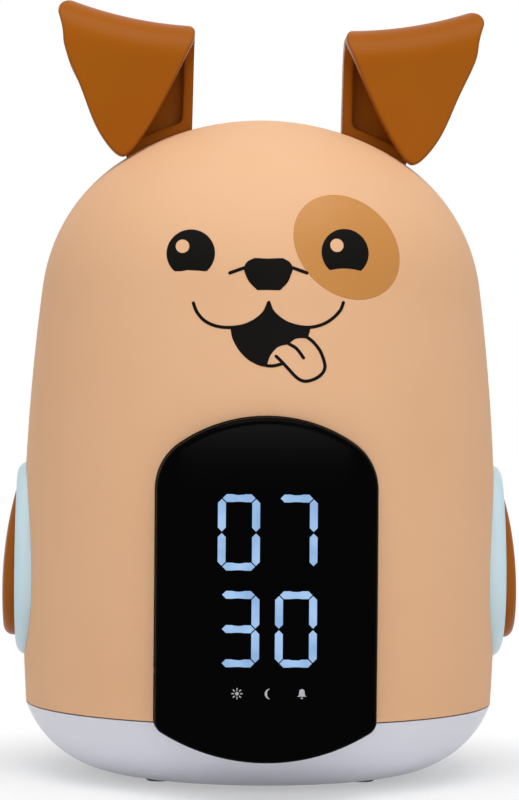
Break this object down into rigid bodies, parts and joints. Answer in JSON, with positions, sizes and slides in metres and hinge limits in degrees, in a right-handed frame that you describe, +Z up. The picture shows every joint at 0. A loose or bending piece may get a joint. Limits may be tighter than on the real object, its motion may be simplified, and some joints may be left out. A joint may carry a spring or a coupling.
{
  "type": "kids alarm clock with night light",
  "caption": "Dome-shaped puppy alarm clock with folded ears, arched digital display, side press pads, rear controls and a translucent night-light base.",
  "frame": {"origin": "centre of the resting plane under the feet, on the dome's axis", "axes": "+Z up; -Y out of the display, towards the person who reads it; +X to that person's right"},
  "size_m": [0.1206, 0.115, 0.1802],
  "materials": {
    "shell_peach": "fine-textured satin ABS",
    "bowl_white": "translucent frosted plastic",
    "cover_white": "fine spark texture",
    "lens_black": "polished acrylic",
    "frame_black": "moulded black",
    "wells_white": "moulded white",
    "digits_lit": "lit diffuser",
    "board_green": "solder mask over glass laminate",
    "chips_white": "light chips",
    "chip_black": "moulded black",
    "plunger_ivory": "moulded",
    "ring_blue": "satin",
    "pad_brown": "semi-gloss",
    "ear_brown": "semi-gloss",
    "buttons_blue": "satin",
    "socket_steel": "drawn shell",
    "contacts_steel": "nickel plated",
    "cells": "plain sleeve",
    "feet_rubber": "soft grey",
    "speaker_steel": "pressed and painted",
    "speaker_paper": "pressed pulp",
    "magnet": "plated pot",
    "screws_steel": "zinc plated"
  },
  "bodies": {
    "housing": {"aaa_cells": "cells", "base_bowl": "bowl_white", "body_shell": "shell_peach", "bottom_cover": "cover_white", "bottom_screws": "screws_steel", "chassis_plate": "wells_white", "chassis_screws": "screws_steel", "controller_chip": "chip_black", "digit_block": "wells_white", "digit_segments": "digits_lit", "display_board": "board_green", "display_frame": "frame_black", "display_lens": "lens_black", "display_screws": "screws_steel", "ear_left": "ear_brown", "ear_right": "ear_brown", "ear_screws": "screws_steel", "light_board": "board_green", "light_chips": "chips_white", "main_board": "board_green", "main_board_screws": "screws_steel", "plate_contacts": "contacts_steel", "rear_panel": "shell_peach", "rear_panel_screws": "screws_steel", "rear_switches": "chip_black", "rubber_feet": "feet_rubber", "side_board_left": "board_green", "side_board_right": "board_green", "side_ring_left": "ring_blue", "side_ring_right": "ring_blue", "side_ring_screws": "screws_steel", "side_switch_left": "chip_black", "side_switch_right": "chip_black", "speaker_clamps": "screws_steel", "speaker_cone": "speaker_paper", "speaker_frame": "speaker_steel", "speaker_magnet": "magnet", "speaker_screws": "screws_steel", "spring_contacts": "contacts_steel", "usb_socket": "socket_steel"},
    "pad_right": {"side_button_right": "pad_brown", "side_plunger_right": "plunger_ivory"},
    "pad_left": {"side_button_left": "pad_brown", "side_plunger_left": "plunger_ivory"},
    "push_button_1": {"rear_button_1": "buttons_blue", "rear_plunger_1": "plunger_ivory"},
    "push_button_2": {"rear_button_2": "buttons_blue", "rear_plunger_2": "plunger_ivory"},
    "push_button_3": {"rear_button_3": "buttons_blue", "rear_plunger_3": "plunger_ivory"},
    "push_button_4": {"rear_button_4": "buttons_blue", "rear_plunger_4": "plunger_ivory"},
    "push_button_5": {"rear_button_5": "buttons_blue", "rear_plunger_5": "plunger_ivory"},
    "door": {"battery_door": "cover_white"}
  },
  "joints": [
    {"name": "pad_press_right", "type": "slide", "parent": "housing", "child": "pad_right", "axis": [-0.9989, 0, -0.0471], "range_m": [0, 0.0008], "stiffness_N_per_m": 2500, "springref_m": -0.0004},
    {"name": "pad_press_left", "type": "slide", "parent": "housing", "child": "pad_left", "axis": [0.9989, 0, -0.0471], "range_m": [0, 0.0008], "stiffness_N_per_m": 2500, "springref_m": -0.0004},
    {"name": "rear_press_1", "type": "slide", "parent": "housing", "child": "push_button_1", "axis": [0, -1, 0], "range_m": [0, 0.0004], "stiffness_N_per_m": 3000, "springref_m": -0.0003},
    {"name": "rear_press_2", "type": "slide", "parent": "housing", "child": "push_button_2", "axis": [0, -1, 0], "range_m": [0, 0.0004], "stiffness_N_per_m": 3000, "springref_m": -0.0003},
    {"name": "rear_press_3", "type": "slide", "parent": "housing", "child": "push_button_3", "axis": [0, -1, 0], "range_m": [0, 0.0004], "stiffness_N_per_m": 3000, "springref_m": -0.0003},
    {"name": "rear_press_4", "type": "slide", "parent": "housing", "child": "push_button_4", "axis": [0, -1, 0], "range_m": [0, 0.0004], "stiffness_N_per_m": 3000, "springref_m": -0.0003},
    {"name": "rear_press_5", "type": "slide", "parent": "housing", "child": "push_button_5", "axis": [0, -1, 0], "range_m": [0, 0.0004], "stiffness_N_per_m": 3000, "springref_m": -0.0003},
    {"name": "door_hinge", "type": "hinge", "parent": "housing", "child": "door", "pos_m": [0, 0.02505, 0.0018], "axis": [1, 0, 0], "range_deg": [0, 75]}
  ]
}
